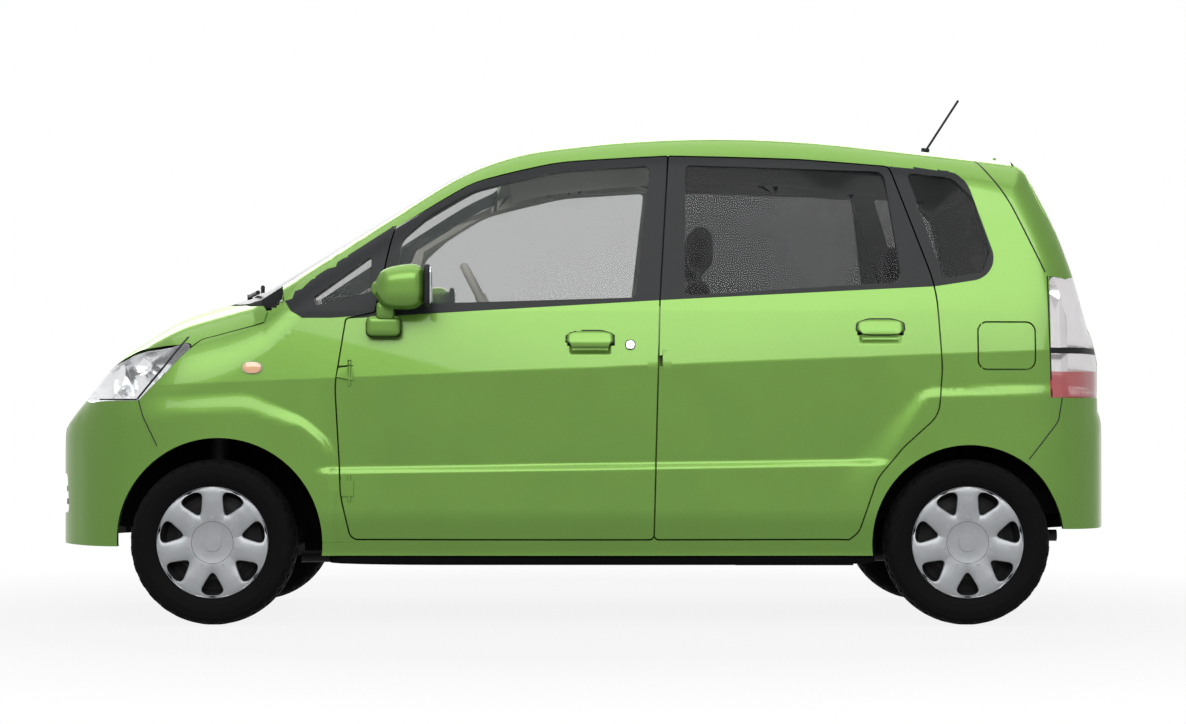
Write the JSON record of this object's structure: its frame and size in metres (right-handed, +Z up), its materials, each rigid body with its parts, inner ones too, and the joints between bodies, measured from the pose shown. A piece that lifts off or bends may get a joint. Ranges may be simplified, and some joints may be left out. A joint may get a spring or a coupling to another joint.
{
  "type": "kei car",
  "caption": "Small hatchback car with side doors, tailgate, bonnet, steered front wheels and spinning road wheels under a rounded cabin.",
  "frame": {"origin": "on the ground under the middle of the car's length and width", "axes": "+X from nose to tail along the car's length, +Y to the car's right, +Z up"},
  "size_m": [3.395, 1.744, 1.7202],
  "materials": {
    "body_paint": "lime green metallic under clear lacquer",
    "satin_black": "satin black",
    "glass": "clear",
    "tinted_glass": "dark privacy tint",
    "lamp_clear": "clear moulded lens",
    "lamp_red": "red and clear moulded lens",
    "tyre": "matte black",
    "wheel_silver": "silver wheel cover on a steel rim",
    "interior": "grained dark grey",
    "seat_cloth": "woven warm grey cloth",
    "underbody": "dark grey primer",
    "steel": "bare steel",
    "casting": "cast block"
  },
  "bodies": {
    "chassis": {"floor_pan": "underbody", "side_frame_left": "body_paint", "side_frame_right": "body_paint", "roof_panel": "body_paint", "front_fender_left": "body_paint", "front_fender_right": "body_paint", "front_bumper": "body_paint", "rear_bumper": "body_paint", "windscreen": "glass", "fixed_side_glass": "tinted_glass", "headlamps": "lamp_clear", "tail_lamps": "lamp_red", "cowl_panel": "satin_black", "wipers": "satin_black", "antenna": "satin_black", "dashboard": "interior", "front_seats": "seat_cloth", "rear_seat": "seat_cloth", "engine": "casting", "front_subframe": "underbody", "rear_axle": "underbody", "exhaust": "steel", "fuel_tank": "underbody"},
    "bonnet": {"bonnet": "body_paint"},
    "tailgate": {"tailgate": "body_paint", "tailgate_glass": "tinted_glass"},
    "fuel_lid": {"fuel_lid": "body_paint"},
    "steering_wheel": {"steering_wheel": "interior"},
    "steering_rack": {"steering_rack": "steel"},
    "front_door_left": {"front_door_left": "body_paint", "front_door_glass_left": "glass", "mirror_left": "body_paint"},
    "rear_door_left": {"rear_door_left": "body_paint", "rear_door_glass_left": "tinted_glass"},
    "front_door_right": {"front_door_right": "body_paint", "front_door_glass_right": "glass", "mirror_right": "body_paint"},
    "rear_door_right": {"rear_door_right": "body_paint", "rear_door_glass_right": "tinted_glass"},
    "knuckle_left": {"knuckle_left": "steel"},
    "knuckle_right": {"knuckle_right": "steel"},
    "wheel_front_left": {"wheel_front_left": "wheel_silver", "tyre_front_left": "tyre"},
    "wheel_front_right": {"wheel_front_right": "wheel_silver", "tyre_front_right": "tyre"},
    "wheel_rear_left": {"wheel_rear_left": "wheel_silver", "tyre_rear_left": "tyre"},
    "wheel_rear_right": {"wheel_rear_right": "wheel_silver", "tyre_rear_right": "tyre"}
  },
  "joints": [
    {"name": "front_door_left_hinge", "type": "hinge", "parent": "chassis", "child": "front_door_left", "pos_m": [-0.718, -0.72046, 0.6], "axis": [0, 0, -1], "range_deg": [0, 65]},
    {"name": "rear_door_left_hinge", "type": "hinge", "parent": "chassis", "child": "rear_door_left", "pos_m": [0.264, -0.72683, 0.6], "axis": [0, 0, -1], "range_deg": [0, 65]},
    {"name": "front_door_right_hinge", "type": "hinge", "parent": "chassis", "child": "front_door_right", "pos_m": [-0.718, 0.72046, 0.6], "axis": [0, 0, 1], "range_deg": [0, 65]},
    {"name": "rear_door_right_hinge", "type": "hinge", "parent": "chassis", "child": "rear_door_right", "pos_m": [0.264, 0.72683, 0.6], "axis": [0, 0, 1], "range_deg": [0, 65]},
    {"name": "bonnet_hinge", "type": "hinge", "parent": "chassis", "child": "bonnet", "pos_m": [-0.96, 0, 0.965], "axis": [0, 1, 0], "range_deg": [0, 48]},
    {"name": "tailgate_hinge", "type": "hinge", "parent": "chassis", "child": "tailgate", "pos_m": [1.345, 0, 1.49], "axis": [0, -1, 0], "range_deg": [0, 80]},
    {"name": "fuel_lid_hinge", "type": "hinge", "parent": "chassis", "child": "fuel_lid", "pos_m": [1.258, -0.70062, 0.876], "axis": [0, -0.1532, -0.9882], "range_deg": [0, 85]},
    {"name": "steer_left", "type": "hinge", "parent": "chassis", "child": "knuckle_left", "pos_m": [-1.1475, -0.52, 0.26], "axis": [0, 0, 1], "range_deg": [-35, 35]},
    {"name": "steer_right", "type": "hinge", "parent": "chassis", "child": "knuckle_right", "pos_m": [-1.1475, 0.52, 0.26], "axis": [0, 0, 1], "range_deg": [-35, 35]},
    {"name": "rack_slide", "type": "slide", "parent": "chassis", "child": "steering_rack", "axis": [0, 1, 0], "range_m": [-0.06903, 0.06903]},
    {"name": "steering_wheel_turn", "type": "hinge", "parent": "chassis", "child": "steering_wheel", "pos_m": [-0.328, 0.34, 1.03], "axis": [0.8829, 0, 0.4695], "range_deg": [-490, 490]},
    {"name": "wheel_front_left_spin", "type": "hinge", "parent": "knuckle_left", "child": "wheel_front_left", "pos_m": [-1.1475, -0.64, 0.26], "axis": [0, -1, 0], "continuous": true},
    {"name": "wheel_front_right_spin", "type": "hinge", "parent": "knuckle_right", "child": "wheel_front_right", "pos_m": [-1.1475, 0.64, 0.26], "axis": [0, -1, 0], "continuous": true},
    {"name": "wheel_rear_left_spin", "type": "hinge", "parent": "chassis", "child": "wheel_rear_left", "pos_m": [1.2125, -0.64, 0.26], "axis": [0, -1, 0], "continuous": true},
    {"name": "wheel_rear_right_spin", "type": "hinge", "parent": "chassis", "child": "wheel_rear_right", "pos_m": [1.2125, 0.64, 0.26], "axis": [0, -1, 0], "continuous": true}
  ],
  "couplings": [
    {"joint": "steer_right", "follows": "steer_left", "ratio": 1},
    {"joint": "rack_slide", "follows": "steer_left", "m_per_rad": 0.113},
    {"joint": "steering_wheel_turn", "follows": "steer_left", "ratio": 14}
  ]
}
